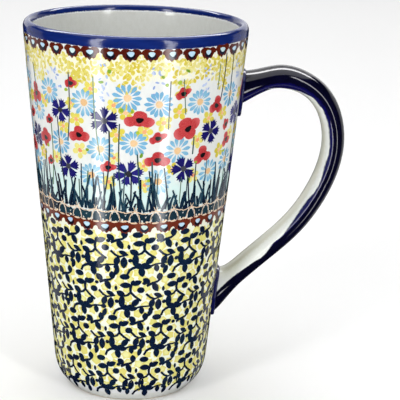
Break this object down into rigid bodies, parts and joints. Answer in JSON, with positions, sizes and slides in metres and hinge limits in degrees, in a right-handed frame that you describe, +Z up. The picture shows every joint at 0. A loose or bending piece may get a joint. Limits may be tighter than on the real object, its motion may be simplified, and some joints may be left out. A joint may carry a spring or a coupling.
{
  "type": "tall stoneware mug",
  "caption": "Tall conical stoneware mug with a looped side handle, painted meadow band and vine print, standing on a foot ring.",
  "frame": {"origin": "centre of the foot ring, on the plane the mug stands on", "axes": "+Z up along the axis of the cup, +X out through the middle of the handle"},
  "size_m": [0.1338, 0.0914, 0.155],
  "materials": {
    "cup_glaze": "clear gloss glaze over painted white stoneware",
    "handle_glaze": "clear gloss glaze over dark cobalt brushwork, white on the inner side",
    "joint_glaze": "clear gloss glaze over cobalt brushwork"
  },
  "bodies": {
    "root": {"cup_body": "cup_glaze", "handle": "handle_glaze", "upper_slip_joint": "joint_glaze", "lower_slip_joint": "joint_glaze"}
  },
  "joints": []
}
